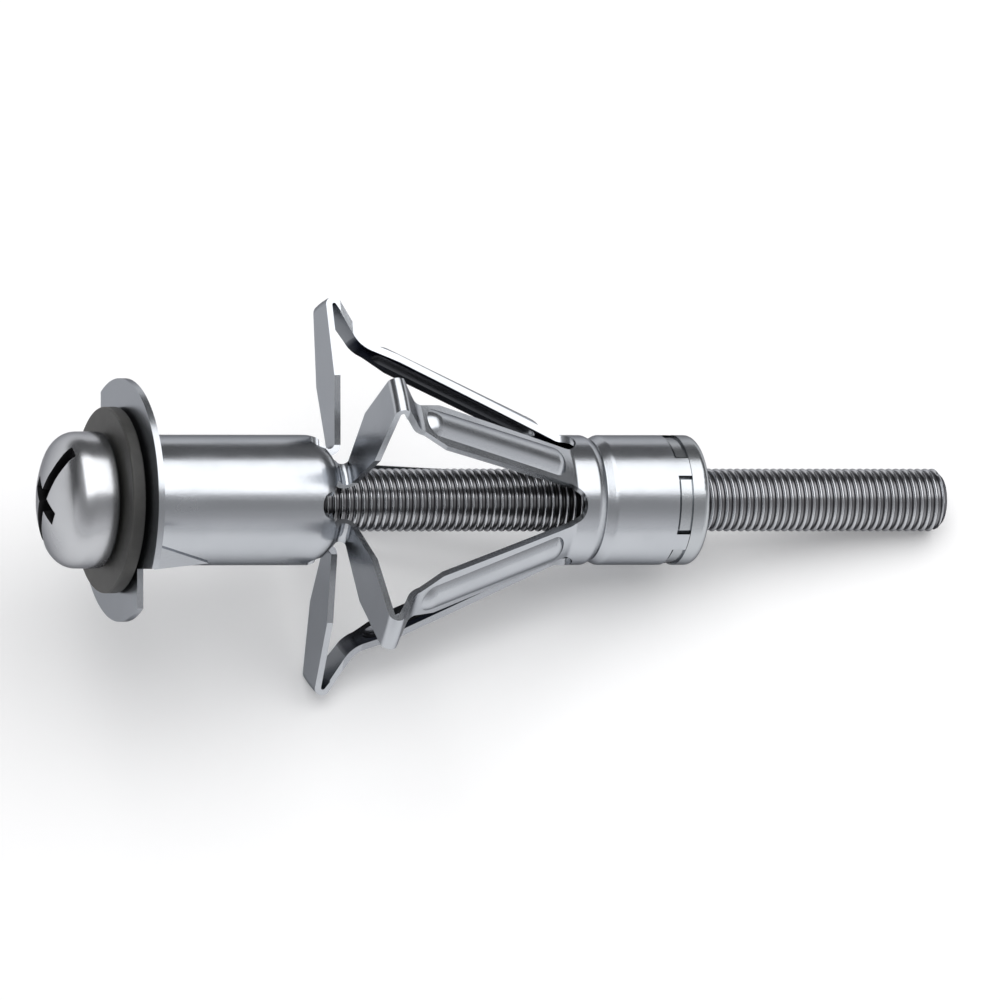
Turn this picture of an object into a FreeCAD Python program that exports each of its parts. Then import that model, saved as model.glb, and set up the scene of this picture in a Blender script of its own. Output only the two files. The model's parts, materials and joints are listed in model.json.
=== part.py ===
import FreeCAD, Part

import math
import os

import Sketcher

from FreeCAD import Placement, Rotation, Vector

# A metal hollow wall anchor, set: a folded sheet steel sleeve with its legs
# drawn out, a threaded nut locked in the sleeve's far end, a machine screw and
# the dark ring under the screw's head.
# Each piece is drawn about its own X axis, which runs from the screw's head to
# its tip, with X = 0 at the front face of the sleeve's flange. The rest pose
# then lays the whole anchor down on two knees of its legs and the screw's tip.

os.makedirs("parts", exist_ok=True)
doc = FreeCAD.newDocument("hollow_wall_anchor")

# Driving dimensions, in millimetres and degrees
DIMENSIONS = (
    ("thread_radius", 2.45),
    ("screw_length", 69.3),
    ("tip_chamfer", 0.5),
    ("head_radius", 5.3),
    ("head_gap", 0.35),
    ("head_side", 1.9),
    ("head_dome", 2.7),
    ("head_shoulder", 1.9),
    ("slot_width", 1.1),
    ("slot_depth", 1.5),
    ("cross_reach", 2.4),
    ("cross_width", 1.2),
    ("cross_depth", 2.9),
    ("recess_turn", 71.0),
    ("washer_radius", 7.2),
    ("washer_thickness", 1.05),
    ("washer_round", 0.15),
    ("washer_gap", 0.25),
    ("seat_gap", 0.05),
    ("running_gap", 0.06),
    ("sheet", 0.5),
    ("flange_radius", 9.4),
    ("flange_bend", 0.5),
    ("flange_turn", 121.0),
    ("notch_side", 4.3),
    ("notch_up", 5.3),
    ("tooth_base", 2.0),
    ("tooth_length", 4.1),
    ("tooth_lean", 0.45),
    ("tooth_turn", 29.0),
    ("tooth_inset", 0.12),
    ("barrel_radius", 5.05),
    ("leg_count", 5),
    ("leg_place", 17.9),
    ("root_gap", 1.0),
    ("root_slope", 50.0),
    ("root_bend", 0.7),
    ("shoulder_bend", 2.0),
    ("knee_radius", 15.9),
    ("knee_bend", 0.42),
    ("shin_slope", 60.0),
    ("elbow_radius", 12.3),
    ("elbow_bend", 2.2),
    ("strut_end", 35.8),
    ("strut_bend", 0.8),
    ("groove_inset", 2.7),
    ("groove_width", 1.5),
    ("groove_depth", 0.4),
    ("groove_bend", 0.35),
    ("collar_length", 9.6),
    ("mouth_inset", 2.95),
    ("mouth_round", 1.0),
    ("slot_inset", 0.9),
    ("slot_round", 1.35),
    ("root_width", 1.9),
    ("blade_width", 4.3),
    ("knee_width", 2.8),
    ("shin_width", 2.4),
    ("strut_width", 3.7),
    ("bead_start", 1.1),
    ("bead_length", 14.9),
    ("bead_width", 2.3),
    ("bead_height", 0.5),
    ("window_angle", 27.0),
    ("window_length", 1.1),
    ("nut_gap", 0.04),
    ("nut_cap", 1.5),
    ("nut_cap_round", 0.6),
    ("dog_setback", 0.2),
    ("dog_play", 3.0),
    ("dog_gap", 0.22),
)

sheet = doc.addObject("Spreadsheet::Sheet", "Size")
for row, (alias, value) in enumerate(DIMENSIONS, start=1):
    sheet.set(f"A{row}", alias.replace("_", " "))
    sheet.set(f"B{row}", str(value))
    sheet.setAlias(f"B{row}", alias)
doc.recompute()


def at(expression):
    """The present value of an expression on the sheet's cells."""
    return float(sheet.evalExpression(expression))


def origin_part(body, role):
    """One of a body's own origin planes or axes."""
    for feature in body.Origin.OriginFeatures:
        if feature.Role == role:
            return feature
    raise ValueError(role)


def new_body(name):
    body = doc.addObject("PartDesign::Body", name)
    body.Label = name
    return body


def sketch_on(body, name, role, offset=None):
    """A sketch on one of the body's origin planes."""
    sketch = body.newObject("Sketcher::SketchObject", name)
    sketch.AttachmentSupport = [(origin_part(body, role), "")]
    sketch.MapMode = "FlatFace"
    if offset is not None:
        sketch.AttachmentOffset = offset
    return sketch


def left_arc(start, end, radius):
    """The short arc from start to end that bulges to the left of the run."""
    run = end - start
    left = Vector(-run.y, run.x, 0).normalize()
    reach = math.sqrt(max(radius * radius - run.Length * run.Length / 4.0, 0.0))
    centre = (start + end) * 0.5 - left * reach
    first = math.atan2(end.y - centre.y, end.x - centre.x)
    last = math.atan2(start.y - centre.y, start.x - centre.x)
    circle = Part.Circle(centre, Vector(0, 0, 1), radius)
    return Part.ArcOfCircle(circle, first, last)


def outline(sketch, corners, arcs=None):
    """A closed outline through corners given as pairs of expressions.

    arcs maps the number of a side to the expression of its radius. That side
    is an arc that bulges to the left of its run.
    """
    arcs = arcs or {}
    count = len(corners)
    points = [Vector(at(x), at(y), 0) for x, y in corners]
    for side, start in enumerate(points):
        end = points[(side + 1) % count]
        if side in arcs:
            sketch.addGeometry(left_arc(start, end, at(arcs[side])), False)
        else:
            sketch.addGeometry(Part.LineSegment(start, end), False)
    # an arc's own ends run anticlockwise, so a left bulge swaps them
    head_end = [2 if side in arcs else 1 for side in range(count)]
    tail_end = [1 if side in arcs else 2 for side in range(count)]
    for side in range(count):
        after = (side + 1) % count
        sketch.addConstraint(
            Sketcher.Constraint("Coincident", side, tail_end[side], after, head_end[after])
        )
    for side, (x, y) in enumerate(corners):
        place(sketch, "DistanceX", side, head_end[side], x)
        place(sketch, "DistanceY", side, head_end[side], y)
    for side, radius in arcs.items():
        index = sketch.addConstraint(Sketcher.Constraint("Radius", side, at(radius)))
        sketch.setExpression(f"Constraints[{index}]", radius)


def place(sketch, kind, geometry, end, expression):
    """Hold one end of a line at a distance from the sketch's origin."""
    index = sketch.addConstraint(
        Sketcher.Constraint(kind, -1, 1, geometry, end, at(expression))
    )
    sketch.setExpression(f"Constraints[{index}]", expression)


def revolve(body, name, corners, arcs=None):
    """Turn an outline drawn as (along X, radius) about the X axis."""
    sketch = sketch_on(body, name + "_section", "XY_Plane")
    outline(sketch, corners, arcs)
    turned = body.newObject("PartDesign::Revolution", name)
    turned.Profile = sketch
    turned.ReferenceAxis = (sketch, ["H_Axis"])
    turned.Angle = 360
    doc.recompute()
    return turned


def polar(body, name, originals, count):
    """Repeat features about the X axis."""
    pattern = body.newObject("PartDesign::PolarPattern", name)
    pattern.Originals = originals
    pattern.Axis = (origin_part(body, "X_Axis"), [""])
    pattern.Angle = 360
    pattern.setExpression("Occurrences", count)
    body.Tip = pattern
    doc.recompute()
    return pattern


def cut_changes(body, make):
    """Make a cutting feature and turn it round where it has cut nothing."""
    before = body.Shape.Volume
    feature = make()
    doc.recompute()
    if before - body.Shape.Volume < 1e-6:
        feature.Reversed = not feature.Reversed
        doc.recompute()
    return feature


# The screw: a domed round head with a slot and a cross, and a plain shank of
# the thread's outer size
HEAD_SEAT = "-(Size.washer_gap + Size.washer_thickness + Size.head_gap)"
SIDE_TOP = HEAD_SEAT + " - Size.head_side"
HEAD_TOP = SIDE_TOP + " - Size.head_dome"
TIP = HEAD_SEAT + " + Size.screw_length"
# The dome is a wide crown arc that runs into a tighter shoulder arc
SHOULDER_PLACE = "(Size.head_radius - Size.head_shoulder)"
CROWN_RADIUS = (
    "((Size.head_dome ^ 2 + " + SHOULDER_PLACE + " ^ 2 - Size.head_shoulder ^ 2)"
    " / (2 * (Size.head_dome - Size.head_shoulder)))"
)
CROWN_SHARE = "(" + CROWN_RADIUS + " / (" + CROWN_RADIUS + " - Size.head_shoulder))"
CROWN_RIM = SHOULDER_PLACE + " * " + CROWN_SHARE
CROWN_DROP = CROWN_RADIUS + " - (" + CROWN_RADIUS + " - Size.head_dome) * " + CROWN_SHARE


def make_screw():
    body = new_body("screw")
    revolve(
        body,
        "screw_blank",
        [
            (HEAD_TOP, "0"),
            (HEAD_TOP + " + " + CROWN_DROP, CROWN_RIM),
            (SIDE_TOP, "Size.head_radius"),
            (HEAD_SEAT, "Size.head_radius"),
            (HEAD_SEAT, "Size.thread_radius"),
            (TIP + " - Size.tip_chamfer", "Size.thread_radius"),
            (TIP, "Size.thread_radius - Size.tip_chamfer"),
            (TIP, "0"),
        ],
        arcs={0: CROWN_RADIUS, 1: "Size.head_shoulder"},
    )
    turn = Placement(Vector(0, 0, 0), Rotation(Vector(0, 0, 1), at("Size.recess_turn")))
    floor = Placement(Vector(0, 0, at(HEAD_TOP + " + Size.slot_depth")), Rotation())
    slot = sketch_on(body, "driver_slot_outline", "YZ_Plane", floor * turn)
    half = "Size.slot_width / 2"
    reach = "Size.head_radius * 2"
    outline(
        slot,
        [
            ("-(" + reach + ")", "-(" + half + ")"),
            (reach, "-(" + half + ")"),
            (reach, half),
            ("-(" + reach + ")", half),
        ],
    )

    def mill_slot():
        pocket = body.newObject("PartDesign::Pocket", "driver_slot")
        pocket.Profile = slot
        pocket.setExpression("Length", "Size.slot_depth * 2")
        pocket.Reversed = True
        return pocket

    cut_changes(body, mill_slot)

    top = Placement(Vector(0, 0, at(HEAD_TOP)), Rotation())
    cross = sketch_on(body, "driver_cross_outline", "YZ_Plane", top * turn)
    arm = "Size.cross_width / 2"
    tip = "Size.cross_reach"
    outline(
        cross,
        [
            ("-(" + tip + ")", "-(" + arm + ")"),
            ("-(" + arm + ")", "-(" + arm + ")"),
            ("-(" + arm + ")", "-(" + tip + ")"),
            (arm, "-(" + tip + ")"),
            (arm, "-(" + arm + ")"),
            (tip, "-(" + arm + ")"),
            (tip, arm),
            (arm, arm),
            (arm, tip),
            ("-(" + arm + ")", tip),
            ("-(" + arm + ")", arm),
            ("-(" + tip + ")", arm),
        ],
    )

    def punch_cross():
        pocket = body.newObject("PartDesign::Pocket", "driver_cross")
        pocket.Profile = cross
        pocket.setExpression("Length", "Size.cross_depth")
        pocket.TaperAngle = -8
        pocket.Reversed = False
        return pocket

    cut_changes(body, punch_cross)
    return body


# The ring under the head
def make_washer():
    body = new_body("washer")
    back = "-Size.washer_gap"
    front = back + " - Size.washer_thickness"
    rim = "Size.washer_radius - Size.washer_round"
    bore = "Size.thread_radius + Size.running_gap"
    revolve(
        body,
        "ring",
        [
            (front, bore),
            (front, rim),
            (front + " + Size.washer_round", "Size.washer_radius"),
            (back + " - Size.washer_round", "Size.washer_radius"),
            (back, rim),
            (back, bore),
        ],
        arcs={1: "Size.washer_round", 3: "Size.washer_round"},
    )
    return body


# The sleeve's sheet, as one bent strip in the plane through the axis
MID_RADIUS = "Size.barrel_radius - Size.sheet / 2"
GROOVE = "Size.strut_end + Size.groove_inset"
COLLAR_END = "Size.strut_end + Size.collar_length"


def tangent_length(radius, turn):
    return radius * math.tan(math.radians(turn) / 2)


def bent_strip(corners, bends, thickness):
    """The closed outline of a strip bent at its corners, as one wire.

    corners are the strip's middle line before bending, bends the middle
    radius at each inner corner.
    """
    sides = {+1: [], -1: []}
    caps = {}
    last = {}
    for hand in sides:
        half = hand * thickness / 2
        cursor = None
        for number in range(len(corners)):
            here = corners[number]
            if 0 < number < len(corners) - 1:
                incoming = (here - corners[number - 1]).normalize()
                outgoing = (corners[number + 1] - here).normalize()
                cross = incoming.x * outgoing.y - incoming.y * outgoing.x
                turn = math.acos(max(-1.0, min(1.0, incoming.dot(outgoing))))
                bend = bends[number]
                back = bend * math.tan(turn / 2)
                side = 1 if cross > 0 else -1
                inward = Vector(-incoming.y, incoming.x, 0) * side
                centre = here - incoming * back + inward * bend
                radius = bend - side * half
                start = centre - inward * radius
                outward_end = Vector(-outgoing.y, outgoing.x, 0) * side
                end = centre - outward_end * radius
                middle_way = (start - centre) + (end - centre)
                crown = centre + middle_way.normalize() * radius
                if cursor is not None:
                    sides[hand].append(Part.makeLine(cursor, start))
                sides[hand].append(Part.Arc(start, crown, end).toShape())
                cursor = end
            else:
                other = corners[1] if number == 0 else corners[number - 1]
                run = (other - here) if number == 0 else (here - other)
                run.normalize()
                point = here + Vector(-run.y, run.x, 0) * half
                if number == 0:
                    cursor = point
                    caps[hand] = point
                else:
                    sides[hand].append(Part.makeLine(cursor, point))
                    last[hand] = point
    edges = list(sides[+1])
    edges.append(Part.makeLine(last[+1], last[-1]))
    edges.extend(reversed(sides[-1]))
    edges.append(Part.makeLine(caps[-1], caps[+1]))
    return Part.Wire(Part.__sortEdges__(edges))


def leg_points():
    """The middle line of the sleeve's sheet, from the flange's rim to the end."""
    mid = at(MID_RADIUS)
    half_sheet = at("Size.sheet / 2")
    root_bend = at("Size.root_bend")
    root_slope = at("Size.root_slope")
    lowest = at("Size.thread_radius + Size.root_gap + Size.sheet / 2")
    root_corner = lowest - tangent_length(root_bend, 90 + root_slope) + root_bend
    blade = at("Size.leg_place")
    shoulder = blade - (mid - root_corner) / math.tan(math.radians(root_slope))
    knee_bend = at("Size.knee_bend")
    shin_slope = at("Size.shin_slope")
    knee_top = at("Size.knee_radius - Size.sheet / 2")
    knee_corner = knee_top + tangent_length(knee_bend, 90 + shin_slope) - knee_bend
    elbow_radius = at("Size.elbow_radius")
    elbow = blade + (knee_corner - elbow_radius) / math.tan(math.radians(shin_slope))
    groove = at(GROOVE)
    half_groove = at("Size.groove_width / 2")
    corners = [
        Vector(half_sheet, at("Size.flange_radius"), 0),
        Vector(half_sheet, mid, 0),
        Vector(shoulder, mid, 0),
        Vector(blade, root_corner, 0),
        Vector(blade, knee_corner, 0),
        Vector(elbow, elbow_radius, 0),
        Vector(at("Size.strut_end"), mid, 0),
        Vector(groove - half_groove, mid, 0),
        Vector(groove, mid - at("Size.groove_depth"), 0),
        Vector(groove + half_groove, mid, 0),
        Vector(at(COLLAR_END), mid, 0),
    ]
    groove_bend = at("Size.groove_bend")
    bends = [
        0,
        at("Size.flange_bend"),
        at("Size.shoulder_bend"),
        root_bend,
        knee_bend,
        at("Size.elbow_bend"),
        at("Size.strut_bend"),
        groove_bend,
        groove_bend,
        groove_bend,
        0,
    ]
    return corners, bends


def keep(name, shape):
    """A shape worked out from the sheet's cells, held as an object."""
    feature = doc.addObject("Part::Feature", name)
    feature.Shape = shape
    return feature


def symmetric_outline(half_points, rounds):
    """A face symmetric about the X axis from its upper half's corners.

    rounds holds, for a corner's number, the crown of a hollow arc that runs
    from that corner to the next.
    """
    edges = []
    for sign in (1, -1):
        for number in range(len(half_points) - 1):
            start = Vector(half_points[number][0], sign * half_points[number][1], 0)
            end = Vector(half_points[number + 1][0], sign * half_points[number + 1][1], 0)
            if number in rounds:
                crown = Vector(rounds[number][0], sign * rounds[number][1], 0)
                edges.append(Part.Arc(start, crown, end).toShape())
            else:
                edges.append(Part.makeLine(start, end))
    for x, y in (half_points[0], half_points[-1]):
        edges.append(Part.makeLine(Vector(x, -y, 0), Vector(x, y, 0)))
    return Part.Face(Part.Wire(Part.__sortEdges__(edges)))


def hollow_crown(corner_x, corner_y, radius, toward):
    """The middle of a quarter round whose centre is at (corner_x, corner_y)."""
    lean = radius * math.sqrt(0.5)
    return (corner_x + toward * lean, corner_y - lean)


def leg_plans():
    """The flat outlines of a leg: root and strut from above, blade end on."""
    sector = at("Size.barrel_radius") * math.sin(math.pi / at("Size.leg_count"))
    mouth = at("Size.leg_place - Size.mouth_inset")
    mouth_round = at("Size.mouth_round")
    root = at("Size.root_width / 2")
    blade = at("Size.leg_place")
    front = blade - at("Size.sheet")
    behind = blade + at("Size.sheet") + at("Size.knee_bend")
    neck = sector - mouth_round
    root_plan = symmetric_outline(
        [
            (mouth, sector),
            (mouth + mouth_round, neck),
            (front - mouth_round, root),
            (front, root),
        ],
        {0: hollow_crown(mouth + mouth_round, sector, mouth_round, -1)},
    )
    slot_round = at("Size.slot_round")
    strut_end = at("Size.strut_end + Size.slot_inset")
    strut = at("Size.strut_width / 2")
    waist = at("Size.shin_width / 2")
    knee = at("Size.knee_width / 2")
    elbow = leg_points()[0][5].x
    strut_plan = symmetric_outline(
        [
            (behind, knee),
            (elbow - slot_round / 2, waist),
            (elbow + slot_round / 2, waist),
            (elbow + 2 * slot_round, strut),
            (strut_end - slot_round, sector - slot_round),
            (strut_end, sector),
        ],
        {4: hollow_crown(strut_end - slot_round, sector, slot_round, 1)},
    )
    inner = at("Size.thread_radius")
    outer = at("Size.knee_radius") + at("Size.sheet")
    wide = at("Size.blade_width / 2")
    wide_radius = (inner + outer) / 2
    blade_plan = symmetric_outline(
        [
            (inner, root),
            (inner + 2 * at("Size.sheet") + at("Size.root_bend"), root),
            (wide_radius, wide),
            (outer, knee),
        ],
        {},
    )
    return root_plan, blade_plan, strut_plan, mouth, front, behind, strut_end


def make_sleeve():
    corners, bends = leg_points()
    section = keep("sheet_section", Part.Face(bent_strip(corners, bends, at("Size.sheet"))))
    ring = doc.addObject("Part::Revolution", "sheet_turned")
    ring.Source = section
    ring.Axis = Vector(1, 0, 0)
    ring.Base = Vector(0, 0, 0)
    ring.Angle = 360
    ring.Solid = False

    root_plan, blade_plan, strut_plan, mouth, front, behind, strut_end = leg_plans()
    reach = at("Size.knee_radius") * 1.5
    upright = Rotation(Vector(0, 1, 0), -90)
    root_leg = root_plan.extrude(Vector(0, 0, reach))
    strut_leg = strut_plan.extrude(Vector(0, 0, reach))
    blade_leg = blade_plan.copy()
    blade_leg.Placement = Placement(Vector(front, 0, 0), upright)
    blade_leg = blade_leg.extrude(Vector(behind - front, 0, 0))
    zones = []
    for number in range(int(at("Size.leg_count"))):
        angle = number * 360.0 / at("Size.leg_count")
        for piece in (root_leg, blade_leg, strut_leg):
            turned = piece.copy()
            turned.rotate(Vector(0, 0, 0), Vector(1, 0, 0), angle)
            zones.append(turned)
    wide = at("Size.flange_radius") * 2
    ahead = at("Size.flange_radius")
    zones.append(Part.makeCylinder(wide, ahead + mouth, Vector(-ahead, 0, 0), Vector(1, 0, 0)))
    zones.append(Part.makeCylinder(wide, ahead, Vector(strut_end, 0, 0), Vector(1, 0, 0)))
    kept = keep("leg_outlines", zones[0].multiFuse(zones[1:]))
    blank = doc.addObject("Part::Common", "sleeve_blank")
    blank.Base = ring
    blank.Tool = kept
    doc.recompute()

    body = new_body("sleeve")
    body.BaseFeature = add_beads(blank, corners)
    doc.recompute()
    cut_windows(body)
    cut_flange(body)
    return body


def strut_capsule(corners, radius, sink):
    """A round-ended bar laid along the first strut, sink below its inner face."""
    elbow, end = corners[5], corners[6]
    run = (end - elbow).normalize()
    outward = Vector(-run.y, run.x, 0)
    face = elbow - outward * (at("Size.sheet / 2") + sink)
    half = at("Size.bead_width / 2")
    first = face + run * (at("Size.bead_start") + half)
    length = at("Size.bead_length") - 2 * half
    bar = Part.makeCylinder(radius, length, first, run)
    ends = [Part.makeSphere(radius, first + run * share) for share in (0, length)]
    return bar.multiFuse(ends).removeSplitter()


def strut_slab(corners):
    """The space outside the first strut's inner face."""
    elbow, end = corners[5], corners[6]
    run = (end - elbow).normalize()
    slope = math.degrees(math.atan2(run.y, run.x))
    outward = Vector(-run.y, run.x, 0)
    wide = at("Size.strut_width")
    slab = Part.makeBox((end - elbow).Length, wide, 2 * wide, Vector(0, 0, -wide))
    slab.Placement = Placement(
        elbow - outward * at("Size.sheet / 2"), Rotation(Vector(0, 0, 1), slope)
    )
    return slab


def each_leg(shape):
    """One copy of a shape, drawn over +Y, for each leg about the axis."""
    copies = []
    for number in range(int(at("Size.leg_count"))):
        turned = shape.copy()
        angle = 90 + number * 360.0 / at("Size.leg_count")
        turned.rotate(Vector(0, 0, 0), Vector(1, 0, 0), angle)
        copies.append(turned)
    return Part.makeCompound(copies)


def add_beads(blank, corners):
    """The stiffening bead pressed out of each strut."""
    rise = at("Size.bead_height")
    half = at("Size.bead_width / 2")
    radius = (half ** 2 + rise ** 2) / (2 * rise)
    sink = radius - rise - at("Size.sheet")
    outside = strut_capsule(corners, radius, sink).common(strut_slab(corners))
    inside = strut_capsule(corners, radius - at("Size.sheet"), sink)
    raised = doc.addObject("Part::Fuse", "beads_raised")
    raised.Base = blank
    raised.Tool = keep("bead_outsides", each_leg(outside))
    hollowed = doc.addObject("Part::Cut", "beads_hollowed")
    hollowed.Base = raised
    hollowed.Tool = keep("bead_insides", each_leg(inside))
    doc.recompute()
    return hollowed


def cut_windows(body):
    """The notches in the collar's end that the nut's dogs fill."""
    turn = Rotation(Vector(1, 0, 0), 180.0 / at("Size.leg_count"))
    sketch = sketch_on(body, "window_outline", "XY_Plane", Placement(Vector(0, 0, 0), turn))
    half = "Size.barrel_radius * sin(Size.window_angle * 1 deg)"
    start = COLLAR_END + " - Size.window_length"
    end = COLLAR_END + " + Size.window_length"
    outline(
        sketch,
        [
            (start, "-" + half),
            (end, "-" + half),
            (end, half),
            (start, half),
        ],
    )

    def punch():
        pocket = body.newObject("PartDesign::Pocket", "window")
        pocket.Profile = sketch
        pocket.setExpression("Length", "Size.barrel_radius * 2")
        pocket.Reversed = True
        return pocket

    window = cut_changes(body, punch)
    polar(body, "windows", [window], "Size.leg_count")


def cut_flange(body):
    """The two corner notches of the flange and the teeth bent from it."""
    turn = Placement(Vector(0, 0, 0), Rotation(Vector(0, 0, 1), at("Size.flange_turn")))
    sketch = sketch_on(body, "notch_outline", "YZ_Plane", turn)
    outline(
        sketch,
        [
            ("Size.notch_side", "Size.notch_up"),
            ("Size.flange_radius + 1", "Size.notch_up"),
            ("Size.flange_radius + 1", "Size.flange_radius + 1"),
            ("Size.notch_side", "Size.flange_radius + 1"),
        ],
    )

    def snip():
        pocket = body.newObject("PartDesign::Pocket", "notch")
        pocket.Profile = sketch
        pocket.Midplane = True
        pocket.setExpression("Length", "Size.sheet * 3")
        return pocket

    notch = cut_changes(body, snip)
    polar(body, "notches", [notch], "2")

    chord = at("sqrt(Size.flange_radius ^ 2 - (Size.tooth_base / 2) ^ 2)")
    lift = chord - at("Size.sheet + Size.tooth_inset")
    for number in (1, 2):
        angle = at("Size.tooth_turn + Size.flange_turn") - 90 + 180 * number
        spin = Placement(Vector(0, 0, 0), Rotation(Vector(1, 0, 0), angle))
        out = Placement(Vector(0, 0, lift), Rotation())
        tooth = sketch_on(body, f"tooth_outline_{number}", "XY_Plane", spin * out)
        outline(
            tooth,
            [
                ("Size.sheet / 2", "-Size.tooth_base / 2"),
                ("Size.sheet + Size.tooth_length", "-Size.tooth_lean"),
                ("Size.sheet / 2", "Size.tooth_base / 2"),
            ],
        )
        doc.recompute()
        spike = body.newObject("PartDesign::Pad", f"tooth_{number}")
        spike.Profile = tooth
        spike.setExpression("Length", "Size.sheet")
        doc.recompute()


# The threaded nut: it fills the collar behind the groove, its dogs sit in the
# windows and its rounded cap closes the end
NUT_START = GROOVE + " + Size.groove_width / 2 + Size.seat_gap"
NUT_RADIUS = "Size.barrel_radius - Size.sheet - Size.nut_gap"
CAP_START = COLLAR_END + " + Size.seat_gap"
CAP_END = CAP_START + " + Size.nut_cap"
BORE = "Size.thread_radius + Size.running_gap"


def make_nut():
    body = new_body("nut")
    revolve(
        body,
        "nut_blank",
        [
            (NUT_START, BORE),
            (NUT_START, NUT_RADIUS),
            (CAP_START, NUT_RADIUS),
            (CAP_START, "Size.barrel_radius"),
            (CAP_END + " - Size.nut_cap_round", "Size.barrel_radius"),
            (CAP_END, "Size.barrel_radius - Size.nut_cap_round"),
            (CAP_END, BORE),
        ],
        arcs={4: "Size.nut_cap_round"},
    )
    turn = Rotation(Vector(1, 0, 0), 90 + 180.0 / at("Size.leg_count"))
    sketch = sketch_on(body, "dog_section", "XY_Plane", Placement(Vector(0, 0, 0), turn))
    foot = "(" + BORE + " + " + NUT_RADIUS + ") / 2"
    crown = "Size.barrel_radius - Size.dog_setback"
    start = COLLAR_END + " - Size.window_length + Size.dog_gap"
    end = CAP_START + " + Size.nut_cap / 2"
    outline(sketch, [(start, foot), (end, foot), (end, crown), (start, crown)])
    dog = body.newObject("PartDesign::Revolution", "dog")
    dog.Profile = sketch
    dog.ReferenceAxis = (sketch, ["H_Axis"])
    dog.Midplane = True
    dog.setExpression("Angle", "2 * (Size.window_angle - Size.dog_play)")
    doc.recompute()
    polar(body, "dogs", [dog], "Size.leg_count")
    return body


def lowest(shape, lay):
    """The height of the shape's lowest point once it is turned."""
    turned = shape.copy()
    turned.Placement = Placement(Vector(0, 0, 0), lay)
    return turned.optimalBoundingBox(False).ZMin


def rest_placement(bodies):
    """Lay the anchor on its two lowest knees and the screw's tip.

    The origin is the point of the ground under the middle of the whole.
    """
    screw, _, sleeve, _ = [body.Shape for body in bodies]
    reach = at(TIP + " - Size.leg_place")
    tilt = math.atan2(at("Size.knee_radius - Size.thread_radius"), reach)
    for _ in range(5):
        lay = Rotation(Vector(0, 1, 0), math.degrees(tilt))
        tilt += (lowest(screw, lay) - lowest(sleeve, lay)) / reach
    shapes = []
    for body in bodies:
        shape = body.Shape.copy()
        shape.Placement = Placement(Vector(0, 0, 0), lay)
        shapes.append(shape)
    box = Part.makeCompound(shapes).optimalBoundingBox(False)
    middle = Vector((box.XMin + box.XMax) / 2, (box.YMin + box.YMax) / 2, box.ZMin)
    return Placement(-middle, lay)


def check(objects):
    for obj in objects:
        if "Invalid" in obj.State or "Error" in obj.State:
            raise RuntimeError(f"{obj.Name} failed: {obj.State}")


def main():
    bodies = [make_screw(), make_washer(), make_sleeve(), make_nut()]
    doc.recompute()
    check(doc.Objects)
    rest = rest_placement(bodies)
    for body in bodies:
        body.Placement = rest
    doc.recompute()
    check(doc.Objects)
    for body in bodies:
        shape = body.Shape
        if shape.isNull() or not shape.isValid():
            raise RuntimeError(f"{body.Label} has no valid shape")
        box = shape.optimalBoundingBox(False)
        print(body.Label, len(shape.Solids), round(shape.Volume, 3), box)
    for body in bodies:
        body.Shape.exportStep(os.path.join("parts", body.Label + ".step"))
    print("rest", rest)


main()
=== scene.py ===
import json
import math

import bmesh
import bpy
from mathutils import Matrix, Vector


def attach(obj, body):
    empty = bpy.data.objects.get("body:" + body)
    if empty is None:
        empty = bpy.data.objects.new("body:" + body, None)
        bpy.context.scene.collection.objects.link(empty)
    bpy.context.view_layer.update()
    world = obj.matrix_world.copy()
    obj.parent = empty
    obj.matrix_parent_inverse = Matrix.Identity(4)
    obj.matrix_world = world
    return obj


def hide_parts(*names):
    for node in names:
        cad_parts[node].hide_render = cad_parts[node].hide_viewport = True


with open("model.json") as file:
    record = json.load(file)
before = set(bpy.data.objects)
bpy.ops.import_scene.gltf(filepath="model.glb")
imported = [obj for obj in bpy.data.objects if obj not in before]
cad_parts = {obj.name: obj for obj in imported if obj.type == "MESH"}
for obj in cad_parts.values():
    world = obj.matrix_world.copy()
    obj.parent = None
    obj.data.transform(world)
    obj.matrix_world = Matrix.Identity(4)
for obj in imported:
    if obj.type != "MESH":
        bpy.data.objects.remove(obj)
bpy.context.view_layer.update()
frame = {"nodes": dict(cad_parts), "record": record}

MM = 0.001


def mount(name):
    """One of the anchor's mounts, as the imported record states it."""
    for entry in frame["record"]["mounts"]:
        if entry["name"] == name:
            return entry
    raise KeyError(name)


# The anchor's own frame: X runs along the screw from the flange's front face
# towards the tip, Y lies level, and Z points away from the ground. The mount
# is a spot on the flange's back face, straight above the screw.
SHEET = 0.5 * MM
FLANGE_SPOT = 7.5 * MM
ALONG = Vector(mount("flange_back")["axis"]).normalized()
SIDE = Vector((0.0, 1.0, 0.0))
LIFT = ALONG.cross(SIDE).normalized()
FLANGE_FACE = Vector(mount("flange_back")["pos_m"]) - ALONG * SHEET - LIFT * FLANGE_SPOT
ANCHOR = Matrix.Translation(FLANGE_FACE) @ Matrix((ALONG, SIDE, LIFT)).transposed().to_4x4()


# The screw's sizes are those of its solid, less a hair that keeps it inside
HAIR = 0.01 * MM

# The thread: its turns lie as close as in the photo
THREAD_RADIUS = 2.45 * MM
PITCH = 0.6 * MM
THREAD_DEPTH = 0.31 * MM
THREAD_ROOT = THREAD_RADIUS - THREAD_DEPTH
THREAD_STEPS = 48
THREAD_OVERLAP = 0.1 * MM
CORE_RADIUS = 0.5 * MM
HEAD_SEAT = -1.65 * MM
TIP = HEAD_SEAT + 69.3 * MM - HAIR
TIP_CHAMFER = 0.5 * MM

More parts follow.
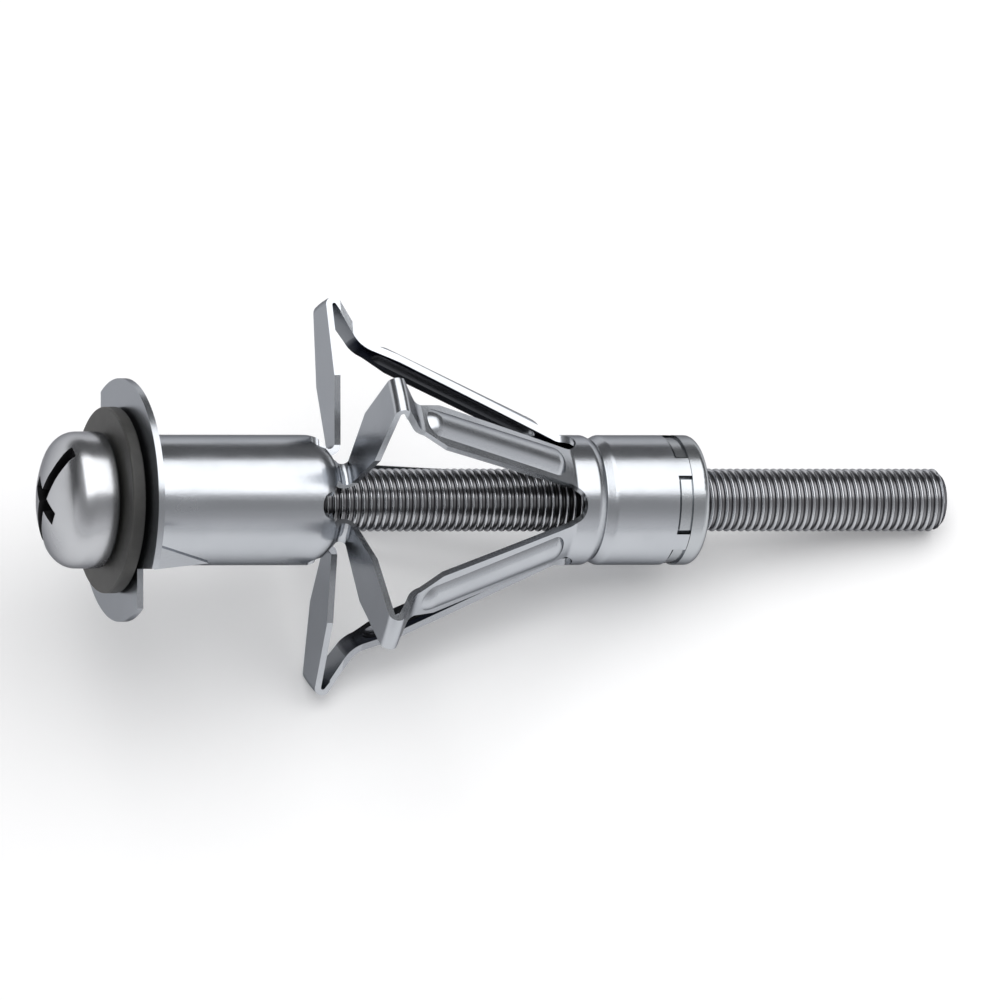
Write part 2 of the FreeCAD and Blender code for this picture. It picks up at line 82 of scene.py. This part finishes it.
# One turn's section, as shares of the pitch and radii
THREAD_SECTION = (
    (0.0, THREAD_ROOT),
    (0.15, THREAD_ROOT + 0.05 * THREAD_DEPTH),
    (0.27, THREAD_ROOT + 0.52 * THREAD_DEPTH),
    (0.41, THREAD_RADIUS - 0.06 * THREAD_DEPTH),
    (0.50, THREAD_RADIUS),
    (0.59, THREAD_RADIUS - 0.06 * THREAD_DEPTH),
    (0.73, THREAD_ROOT + 0.52 * THREAD_DEPTH),
    (0.85, THREAD_ROOT + 0.05 * THREAD_DEPTH),
)

# The head: a straight side, a rounded shoulder and a flatter crown
HEAD_RADIUS = 5.3 * MM - HAIR
HEAD_SIDE = 1.9 * MM
HEAD_DOME = 2.7 * MM - HAIR
HEAD_SHOULDER = 1.9 * MM
HEAD_RIM = 0.22 * MM
HEAD_EDGE = 0.09 * MM
HEAD_STEPS = 96
CROWN_STEPS = 14
SHOULDER_STEPS = 10
SIDE_TOP = HEAD_SEAT - HEAD_SIDE
CROWN = SIDE_TOP - HEAD_DOME
SHOULDER_PLACE = HEAD_RADIUS - HEAD_SHOULDER
CROWN_RADIUS = (HEAD_DOME ** 2 + SHOULDER_PLACE ** 2 - HEAD_SHOULDER ** 2) / (
    2 * (HEAD_DOME - HEAD_SHOULDER)
)
CROWN_TURN = math.asin(SHOULDER_PLACE / (CROWN_RADIUS - HEAD_SHOULDER))

# The recess: a slot over the whole head, crossed by a tapered cross
SLOT_WIDTH = 1.1 * MM
SLOT_DEPTH = 1.5 * MM
SLOT_RISE = 2 * MM
CROSS_REACH = 2.4 * MM
CROSS_WIDTH = 1.2 * MM
CROSS_DEPTH = 2.9 * MM
CROSS_RISE = 0.6 * MM
CROSS_MOUTH_SHARE = 1.15
CROSS_FLOOR_SHARE = 0.42
RECESS_TURN = math.radians(71)

# Which of the screw's four finishes a face has: the plated head, painted shade in the driver recess,
# painted shade in the thread's grooves, and the plated crests
HEAD_FINISH, RECESS_PAINTED_SHADE, GROOVE_PAINTED_SHADE, CREST_FINISH = range(4)


def new_object(name, mesh_builder):
    """Put a finished bmesh, drawn in the anchor's frame, into the scene."""
    mesh = bpy.data.meshes.new(name)
    mesh_builder.transform(ANCHOR)
    bmesh.ops.recalc_face_normals(mesh_builder, faces=mesh_builder.faces)
    mesh_builder.to_mesh(mesh)
    mesh_builder.free()
    thing = bpy.data.objects.new(name, mesh)
    bpy.context.scene.collection.objects.link(thing)
    return thing


def lathe(profile, steps):
    """Turn (along, radius) points about the screw's axis."""
    form = bmesh.new()
    rings = []
    for along, radius in profile:
        if radius < 1e-7:
            rings.append([form.verts.new((along, 0, 0))])
            continue
        ring = []
        for step in range(steps):
            angle = 2 * math.pi * step / steps
            ring.append(form.verts.new((along, radius * math.cos(angle), radius * math.sin(angle))))
        rings.append(ring)
    for first, second in zip(rings, rings[1:]):
        for step in range(steps):
            after = (step + 1) % steps
            corners = [
                first[step % len(first)],
                first[after % len(first)],
                second[after % len(second)],
                second[step % len(second)],
            ]
            distinct = list(dict.fromkeys(corners))
            form.faces.new(distinct)
    return form


def dome_height(radius):
    """How far along the axis the dome's surface lies at a radius."""
    if radius < CROWN_RADIUS * math.sin(CROWN_TURN):
        return CROWN + CROWN_RADIUS - math.sqrt(CROWN_RADIUS ** 2 - radius ** 2)
    out = min(radius - SHOULDER_PLACE, HEAD_SHOULDER)
    return SIDE_TOP - math.sqrt(HEAD_SHOULDER ** 2 - out ** 2)


def head_profile():
    """The domed head from its crown to the middle of its seat."""
    points = []
    for step in range(CROWN_STEPS + 1):
        angle = CROWN_TURN * step / CROWN_STEPS
        points.append((CROWN + CROWN_RADIUS * (1 - math.cos(angle)), CROWN_RADIUS * math.sin(angle)))
    for step in range(1, SHOULDER_STEPS + 1):
        angle = CROWN_TURN + (math.pi / 2 - CROWN_TURN) * step / SHOULDER_STEPS
        points.append(
            (
                SIDE_TOP - HEAD_SHOULDER * math.cos(angle),
                SHOULDER_PLACE + HEAD_SHOULDER * math.sin(angle),
            )
        )
    for share in (0.0, 0.3, 0.6, 0.85, 1.0):
        turn = share * math.pi / 2
        points.append(
            (
                HEAD_SEAT - HEAD_RIM + HEAD_RIM * math.sin(turn),
                HEAD_RADIUS - HEAD_RIM + HEAD_RIM * math.cos(turn),
            )
        )
    points.append((HEAD_SEAT, THREAD_ROOT))
    points.append((HEAD_SEAT, 0.0))
    return points


def slot_cutter():
    """A block across the head, turned to the recess's angle."""
    top, floor = CROWN - SLOT_RISE, CROWN + SLOT_DEPTH
    form = bmesh.new()
    bmesh.ops.create_cube(form, size=1.0)
    form.transform(Matrix.Diagonal((floor - top, 3 * HEAD_RADIUS, SLOT_WIDTH, 1.0)))
    form.transform(Matrix.Translation(((floor + top) / 2, 0, 0)))
    form.transform(Matrix.Rotation(RECESS_TURN, 4, "X"))
    return form


def cross_cutter():
    """A four-armed punch whose arms narrow towards its floor."""
    form = bmesh.new()
    arm = CROSS_WIDTH / 2
    outline = []
    for quarter in range(4):
        turn = Matrix.Rotation(quarter * math.pi / 2, 2)
        for corner in ((CROSS_REACH, -arm), (CROSS_REACH, arm), (arm, arm)):
            outline.append(turn @ Vector(corner))
    rings = []
    for along, share in (
        (CROWN - CROSS_RISE, CROSS_MOUTH_SHARE),
        (CROWN + CROSS_DEPTH, CROSS_FLOOR_SHARE),
    ):
        rings.append([form.verts.new((along, p.x * share, p.y * share)) for p in outline])
    form.faces.new(rings[0])
    form.faces.new(list(reversed(rings[1])))
    count = len(outline)
    for step in range(count):
        after = (step + 1) % count
        form.faces.new((rings[0][step], rings[1][step], rings[1][after], rings[0][after]))
    form.transform(Matrix.Rotation(RECESS_TURN, 4, "X"))
    return form


def apply_modifiers(thing):
    """Make the modifiers' result the mesh itself."""
    depsgraph = bpy.context.evaluated_depsgraph_get()
    finished = bpy.data.meshes.new_from_object(thing.evaluated_get(depsgraph))
    thing.modifiers.clear()
    thing.data = finished


def make_head():
    """The head, with its recess cut and its sharp edges broken."""
    head = new_object("screw_head_blank", lathe(head_profile(), HEAD_STEPS))
    for number, form in enumerate((slot_cutter(), cross_cutter())):
        cutter = new_object(f"recess_cutter_{number}", form)
        cut = head.modifiers.new("recess", "BOOLEAN")
        cut.operation = "DIFFERENCE"
        cut.solver = "EXACT"
        cut.object = cutter
        apply_modifiers(head)
        bpy.data.objects.remove(cutter)
    soften = head.modifiers.new("soft_edges", "BEVEL")
    soften.width = HEAD_EDGE
    soften.segments = 2
    soften.limit_method = "ANGLE"
    soften.angle_limit = math.radians(35)
    apply_modifiers(head)
    return head


def make_thread():
    """A right-hand thread swept along its helix, cut off square at both ends."""
    start = HEAD_SEAT - PITCH
    turns = int((TIP - start) / PITCH) + 2
    form = bmesh.new()
    rows = []
    for step in range(turns * THREAD_STEPS + 1):
        angle = 2 * math.pi * step / THREAD_STEPS
        row = []
        for share, radius in THREAD_SECTION:
            along = start + PITCH * (step / THREAD_STEPS + share)
            narrowed = min(radius, THREAD_RADIUS - (along - (TIP - TIP_CHAMFER)))
            narrowed = max(narrowed, CORE_RADIUS)
            row.append(
                form.verts.new((along, narrowed * math.cos(angle), narrowed * math.sin(angle)))
            )
        rows.append(row)
    for step in range(turns * THREAD_STEPS):
        here, ahead = rows[step], rows[step + 1]
        for part in range(len(THREAD_SECTION) - 1):
            form.faces.new((here[part], ahead[part], ahead[part + 1], here[part + 1]))
        if step + THREAD_STEPS + 1 < len(rows):
            above, beyond = rows[step + THREAD_STEPS], rows[step + THREAD_STEPS + 1]
            form.faces.new((here[-1], ahead[-1], beyond[0], above[0]))
    for place, outward in ((TIP, 1), (HEAD_SEAT - THREAD_OVERLAP, -1)):
        everything = list(form.verts) + list(form.edges) + list(form.faces)
        bmesh.ops.bisect_plane(
            form,
            geom=everything,
            plane_co=(place, 0, 0),
            plane_no=(outward, 0, 0),
            clear_outer=True,
        )
    open_edges = [edge for edge in form.edges if edge.is_boundary]
    bmesh.ops.holes_fill(form, edges=open_edges, sides=0)
    return new_object("screw_thread_blank", form)


def make_screw():
    """The head and the thread in one mesh."""
    head = make_head()
    thread = make_thread()
    form = bmesh.new()
    form.from_mesh(head.data)
    form.from_mesh(thread.data)
    mesh = bpy.data.meshes.new("machine_screw")
    form.to_mesh(mesh)
    form.free()
    bpy.data.objects.remove(head)
    bpy.data.objects.remove(thread)
    screw = bpy.data.objects.new("machine_screw", mesh)
    bpy.context.scene.collection.objects.link(screw)
    mesh.shade_smooth()
    mesh.set_sharp_from_angle(angle=math.radians(48))
    return screw


def mark_screw_faces(mesh):
    """Give the driver recess and the thread's grooves their painted shade, and the thread's crests
    their own finish.
    """
    to_anchor = ANCHOR.inverted()
    recess_end = SIDE_TOP + 0.6 * MM
    recess_reach = 0.92 * HEAD_RADIUS
    least_depth = 0.02 * MM
    groove_top = THREAD_RADIUS - 0.5 * THREAD_DEPTH
    for face in mesh.polygons:
        spot = to_anchor @ face.center
        radius = math.hypot(spot.y, spot.z)
        face.material_index = HEAD_FINISH
        in_head = spot.x < recess_end and radius < recess_reach
        # Faces sunk below the dome get the recess's painted shade
        if in_head and spot.x - dome_height(radius) > least_depth:
            face.material_index = RECESS_PAINTED_SHADE
        if spot.x > HEAD_SEAT:
            # Faces low in the thread get the grooves' painted shade, the rest the crests' plate
            face.material_index = GROOVE_PAINTED_SHADE if radius < groove_top else CREST_FINISH


# The finishes

# Zinc plate: clouds about 4 mm across, and a grain of 0.2 mm
CLOUD_SCALE = 260
GRAIN_SCALE = 5200
GRAIN = 0.5
GRAIN_STRENGTH = 0.15
GRAIN_HEIGHT = 0.00005
ROUGHNESS_SPREAD = 0.16
EDGE_BLUE = 1.05

# Painted shade: the sheet is darkened inside the tube and on the inner faces of the legs,
# where shade falls. It starts beyond the flange's teeth, where a face turns towards the screw.
INNER_SHADE_TONE = (0.07, 0.073, 0.08, 1)
INNER_SHADE_TURN = (-0.35, -0.65)
BEYOND_TEETH = (5.5 * MM, 6.5 * MM)

# The matt charcoal of the ring
RING_MOTTLE_SCALE = 900
RING_DARK = (0.030, 0.030, 0.029, 1)
RING_LIGHT = (0.058, 0.057, 0.054, 1)
RING_ROUGHNESS = 0.55
RING_GRAIN_STRENGTH = 0.3


def new_material(name):
    """A node material, with its nodes, its links and its Principled surface."""
    material = bpy.data.materials.new(name)
    material.use_nodes = True
    nodes = material.node_tree.nodes
    return material, nodes, material.node_tree.links, nodes["Principled BSDF"]


def colour_mix(nodes):
    mix = nodes.new("ShaderNodeMix")
    mix.data_type = "RGBA"
    return mix


def noise(nodes, links, place, scale, detail):
    made = nodes.new("ShaderNodeTexNoise")
    made.inputs["Scale"].default_value = scale
    made.inputs["Detail"].default_value = detail
    links.new(place.outputs["Object"], made.inputs["Vector"])
    return made


def plating_group():
    """Zinc plate: a cloudy tone and roughness, and the height of its grain."""
    group = bpy.data.node_groups.new("zinc_plate", "ShaderNodeTree")
    face = group.interface
    face.new_socket("Tone", in_out="INPUT", socket_type="NodeSocketColor")
    face.new_socket("Deep Tone", in_out="INPUT", socket_type="NodeSocketColor")
    face.new_socket("Roughness", in_out="INPUT", socket_type="NodeSocketFloat")
    face.new_socket("Grain", in_out="INPUT", socket_type="NodeSocketFloat")
    face.new_socket("Colour", in_out="OUTPUT", socket_type="NodeSocketColor")
    face.new_socket("Roughness", in_out="OUTPUT", socket_type="NodeSocketFloat")
    face.new_socket("Height", in_out="OUTPUT", socket_type="NodeSocketFloat")
    nodes, links = group.nodes, group.links
    given = nodes.new("NodeGroupInput")
    result = nodes.new("NodeGroupOutput")
    place = nodes.new("ShaderNodeTexCoord")
    cloud = noise(nodes, links, place, CLOUD_SCALE, 4)
    fine = noise(nodes, links, place, GRAIN_SCALE, 2)

    tone = colour_mix(nodes)
    links.new(cloud.outputs["Fac"], tone.inputs["Factor"])
    links.new(given.outputs["Tone"], tone.inputs["A"])
    links.new(given.outputs["Deep Tone"], tone.inputs["B"])
    links.new(tone.outputs["Result"], result.inputs["Colour"])

    spread = nodes.new("ShaderNodeMath")
    spread.operation = "MULTIPLY_ADD"
    spread.inputs[1].default_value = ROUGHNESS_SPREAD
    spread.inputs[2].default_value = -ROUGHNESS_SPREAD / 2
    links.new(cloud.outputs["Fac"], spread.inputs[0])
    rough = nodes.new("ShaderNodeMath")
    rough.operation = "ADD"
    links.new(spread.outputs[0], rough.inputs[0])
    links.new(given.outputs["Roughness"], rough.inputs[1])
    links.new(rough.outputs[0], result.inputs["Roughness"])

    height = nodes.new("ShaderNodeMath")
    height.operation = "MULTIPLY"
    links.new(fine.outputs["Fac"], height.inputs[0])
    links.new(given.outputs["Grain"], height.inputs[1])
    links.new(height.outputs[0], result.inputs["Height"])
    return group


ZINC_PLATE = plating_group()


def zinc(name, tone, deep_tone, roughness, edge=0.22):
    """A plated steel finish; edge is how much it mirrors where it is seen aslant."""
    material, nodes, links, surface = new_material(name)
    plate = nodes.new("ShaderNodeGroup")
    plate.name = "plate"
    plate.node_tree = ZINC_PLATE
    plate.inputs["Tone"].default_value = (*tone, 1)
    plate.inputs["Deep Tone"].default_value = (*deep_tone, 1)
    plate.inputs["Roughness"].default_value = roughness
    plate.inputs["Grain"].default_value = GRAIN
    bump = nodes.new("ShaderNodeBump")
    bump.inputs["Strength"].default_value = GRAIN_STRENGTH
    bump.inputs["Distance"].default_value = GRAIN_HEIGHT
    surface.inputs["Metallic"].default_value = 1.0
    surface.inputs["Specular Tint"].default_value = (edge, edge, edge * EDGE_BLUE, 1)
    links.new(plate.outputs["Colour"], surface.inputs["Base Color"])
    links.new(plate.outputs["Roughness"], surface.inputs["Roughness"])
    links.new(plate.outputs["Height"], bump.inputs["Height"])
    links.new(bump.outputs["Normal"], surface.inputs["Normal"])
    return material


def paint_inner_shade(material):
    """Paint shade on the sheet where it faces the screw, inside the tube and on the legs' inner
    faces.
    """
    nodes, links = material.node_tree.nodes, material.node_tree.links
    surface, plate = nodes["Principled BSDF"], nodes["plate"]

    def vector(operation, *given):
        made = nodes.new("ShaderNodeVectorMath")
        made.operation = operation
        for socket, value in zip(made.inputs, given):
            if isinstance(value, Vector):
                socket.default_value = value
            else:
                links.new(value, socket)
        return made

    face = nodes.new("ShaderNodeNewGeometry")
    place = nodes.new("ShaderNodeTexCoord")
    spot = vector("SUBTRACT", place.outputs["Object"], FLANGE_FACE).outputs["Vector"]
    along = vector("PROJECT", spot, ALONG).outputs["Vector"]
    aside = vector("SUBTRACT", spot, along).outputs["Vector"]
    outward = vector("NORMALIZE", aside).outputs["Vector"]
    facing = vector("DOT_PRODUCT", outward, face.outputs["Normal"]).outputs["Value"]
    run = vector("DOT_PRODUCT", spot, ALONG).outputs["Value"]

    inside = nodes.new("ShaderNodeMapRange")
    inside.interpolation_type = "SMOOTHSTEP"
    inside.inputs["From Min"].default_value = INNER_SHADE_TURN[0]
    inside.inputs["From Max"].default_value = INNER_SHADE_TURN[1]
    links.new(facing, inside.inputs["Value"])
    beyond_teeth = nodes.new("ShaderNodeMapRange")
    beyond_teeth.inputs["From Min"].default_value = BEYOND_TEETH[0]
    beyond_teeth.inputs["From Max"].default_value = BEYOND_TEETH[1]
    links.new(run, beyond_teeth.inputs["Value"])
    links.new(beyond_teeth.outputs["Result"], inside.inputs["To Max"])

    tone = colour_mix(nodes)
    tone.inputs["B"].default_value = INNER_SHADE_TONE
    links.new(inside.outputs["Result"], tone.inputs["Factor"])
    links.new(plate.outputs["Colour"], tone.inputs["A"])
    links.new(tone.outputs["Result"], surface.inputs["Base Color"])


def ring_material():
    """The matt charcoal of the ring under the head."""
    material, nodes, links, surface = new_material("charcoal_ring")
    place = nodes.new("ShaderNodeTexCoord")
    mottle = noise(nodes, links, place, RING_MOTTLE_SCALE, 3)
    tone = colour_mix(nodes)
    tone.inputs["A"].default_value = RING_DARK
    tone.inputs["B"].default_value = RING_LIGHT
    links.new(mottle.outputs["Fac"], tone.inputs["Factor"])
    links.new(tone.outputs["Result"], surface.inputs["Base Color"])
    bump = nodes.new("ShaderNodeBump")
    bump.inputs["Strength"].default_value = RING_GRAIN_STRENGTH
    bump.inputs["Distance"].default_value = GRAIN_HEIGHT
    links.new(mottle.outputs["Fac"], bump.inputs["Height"])
    links.new(bump.outputs["Normal"], surface.inputs["Normal"])
    surface.inputs["Roughness"].default_value = RING_ROUGHNESS
    return material


def dress(thing, *materials):
    """Put the finishes in the thing's slots, which also clears its faces' marks."""
    thing.data.materials.clear()
    for material in materials:
        thing.data.materials.append(material)


screw = make_screw()
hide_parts("screw")
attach(screw, "screw")

# The screw's finishes stand in the order of their numbers above
dress(
    screw,
    zinc("plated_head", (0.56, 0.57, 0.59), (0.48, 0.49, 0.51), 0.25, 0.3),
    # Painted shade in the driver recess
    zinc("painted_recess_shade", (0.035, 0.035, 0.037), (0.022, 0.022, 0.024), 0.5, 0.05),
    # Painted shade in the thread's grooves
    zinc("painted_groove_shade", (0.25, 0.25, 0.26), (0.17, 0.17, 0.18), 0.3, 0.12),
    zinc("thread_crest", (0.54, 0.55, 0.57), (0.44, 0.45, 0.47), 0.22, 0.3),
)
mark_screw_faces(screw.data)

plated_sheet = zinc("plated_sheet", (0.53, 0.55, 0.58), (0.45, 0.47, 0.50), 0.24)
# Painted shade on the sheet's inner faces, beyond the flange's teeth
paint_inner_shade(plated_sheet)
dress(frame["nodes"]["sleeve"], plated_sheet)
dress(frame["nodes"]["nut"], zinc("plated_nut", (0.52, 0.54, 0.56), (0.44, 0.46, 0.48), 0.24))
dress(frame["nodes"]["washer"], ring_material())


# The ground, the studio light and the camera

# White paper, lifted a little towards white where it is seen or mirrored
PAPER_REACH = 1.5
PAPER_TONE = (0.9, 0.9, 0.9, 1)
PAPER_LIFT = 0.13

# The studio's grey levels, from the horizon to straight above: the half
# behind the camera is light, the half beyond the anchor is dark
NEAR_LEVELS = (
    (0.0, 0.92),
    (0.22, 0.8),
    (0.39, 0.58),
    (0.57, 0.43),
    (0.7, 0.38),
    (0.83, 0.45),
    (1.0, 0.8),
)
FAR_LEVELS = ((0.0, 0.12), (0.26, 0.16), (0.51, 0.10), (0.72, 0.3), (1.0, 0.8))
STUDIO_BLEND = (-0.25, 0.25)
STUDIO_BLUE = 1.02
STUDIO_STRENGTH = 0.87

# One wide panel over the anchor, shifted towards its tip and to its far side
PANEL_SPOT = Vector((0.22, 0.185, 0.55))
PANEL_WIDTH = 0.9
PANEL_DEPTH = 0.81
PANEL_POWER = 4.15

# The camera looks at the anchor from its head's end, rolled so that the anchor
# lies level in the picture
TURN_TO_HEAD = math.radians(20)
ROUND_AXIS = math.radians(59)
PIXELS_PER_METRE = 12900
PICTURE_WIDTH = 1000
SENSOR_WIDTH = 36
MIDDLE_ALONG = 31.27 * MM
DISTANCE = 2.0


def make_ground():
    form = bmesh.new()
    bmesh.ops.create_grid(form, x_segments=1, y_segments=1, size=PAPER_REACH)
    mesh = bpy.data.meshes.new("ground")
    form.to_mesh(mesh)
    form.free()
    ground = bpy.data.objects.new("ground", mesh)
    bpy.context.scene.collection.objects.link(ground)
    material, nodes, links, surface = new_material("white_paper")
    surface.inputs["Base Color"].default_value = PAPER_TONE
    surface.inputs["Roughness"].default_value = 0.9
    surface.inputs["Specular IOR Level"].default_value = 0.1
    surface.inputs["Emission Color"].default_value = (1, 1, 1, 1)
    rays = nodes.new("ShaderNodeLightPath")
    seen = rays.outputs["Is Camera Ray"]
    for kind in ("Is Glossy Ray", "Is Transmission Ray"):
        either = nodes.new("ShaderNodeMath")
        either.operation = "MAXIMUM"
        links.new(seen, either.inputs[0])
        links.new(rays.outputs[kind], either.inputs[1])
        seen = either.outputs[0]
    lift = nodes.new("ShaderNodeMath")
    lift.operation = "MULTIPLY"
    lift.inputs[1].default_value = PAPER_LIFT
    links.new(seen, lift.inputs[0])
    links.new(lift.outputs[0], surface.inputs["Emission Strength"])
    dress(ground, material)


def level_ramp(nodes, stops):
    """Faintly blue grey levels against height above the horizon."""
    ramp = nodes.new("ShaderNodeValToRGB")
    elements = ramp.color_ramp.elements
    for element, (position, level) in zip(elements, (stops[0], stops[-1])):
        element.position = position
        element.color = (level, level, level * STUDIO_BLUE, 1)
    for position, level in stops[1:-1]:
        elements.new(position).color = (level, level, level * STUDIO_BLUE, 1)
    return ramp


def make_world():
    """A studio that is lighter behind the camera than beyond the anchor."""
    world = bpy.data.worlds.new("studio")
    bpy.context.scene.world = world
    world.use_nodes = True
    nodes, links = world.node_tree.nodes, world.node_tree.links
    sky = nodes["Background"]
    place = nodes.new("ShaderNodeTexCoord")
    split = nodes.new("ShaderNodeSeparateXYZ")
    links.new(place.outputs["Generated"], split.inputs[0])
    near = level_ramp(nodes, NEAR_LEVELS)
    far = level_ramp(nodes, FAR_LEVELS)
    links.new(split.outputs["Z"], near.inputs["Fac"])
    links.new(split.outputs["Z"], far.inputs["Fac"])
    share = nodes.new("ShaderNodeMapRange")
    share.interpolation_type = "SMOOTHSTEP"
    share.inputs["From Min"].default_value = STUDIO_BLEND[0]
    share.inputs["From Max"].default_value = STUDIO_BLEND[1]
    links.new(split.outputs["Y"], share.inputs["Value"])
    blend = colour_mix(nodes)
    links.new(share.outputs["Result"], blend.inputs["Factor"])
    links.new(near.outputs["Color"], blend.inputs["A"])
    links.new(far.outputs["Color"], blend.inputs["B"])
    links.new(blend.outputs["Result"], sky.inputs["Color"])
    sky.inputs["Strength"].default_value = STUDIO_STRENGTH


def make_panel():
    data = bpy.data.lights.new("overhead_panel", "AREA")
    data.shape = "RECTANGLE"
    data.size = PANEL_WIDTH
    data.size_y = PANEL_DEPTH
    data.energy = PANEL_POWER
    panel = bpy.data.objects.new("overhead_panel", data)
    panel.location = PANEL_SPOT
    panel.rotation_euler = Vector((0.0, 0.0, -1.0)).to_track_quat("-Z", "Y").to_euler()
    bpy.context.scene.collection.objects.link(panel)


def make_camera():
    facing = LIFT * math.sin(ROUND_AXIS) - SIDE * math.cos(ROUND_AXIS)
    upward = LIFT * math.cos(ROUND_AXIS) + SIDE * math.sin(ROUND_AXIS)
    back = facing * math.cos(TURN_TO_HEAD) - ALONG * math.sin(TURN_TO_HEAD)
    right = upward.cross(back)
    target = FLANGE_FACE + ALONG * MIDDLE_ALONG
    data = bpy.data.cameras.new("photo_camera")
    data.sensor_width = SENSOR_WIDTH
    data.lens = SENSOR_WIDTH * DISTANCE * PIXELS_PER_METRE / PICTURE_WIDTH
    data.clip_start = 0.01
    data.clip_end = 20
    camera = bpy.data.objects.new("photo_camera", data)
    camera.matrix_world = (
        Matrix.Translation(target + back * DISTANCE)
        @ Matrix((right, upward, back)).transposed().to_4x4()
    )
    bpy.context.scene.collection.objects.link(camera)
    bpy.context.scene.camera = camera


make_ground()
make_world()
make_panel()
make_camera()
bpy.context.scene.view_settings.view_transform = "Standard"
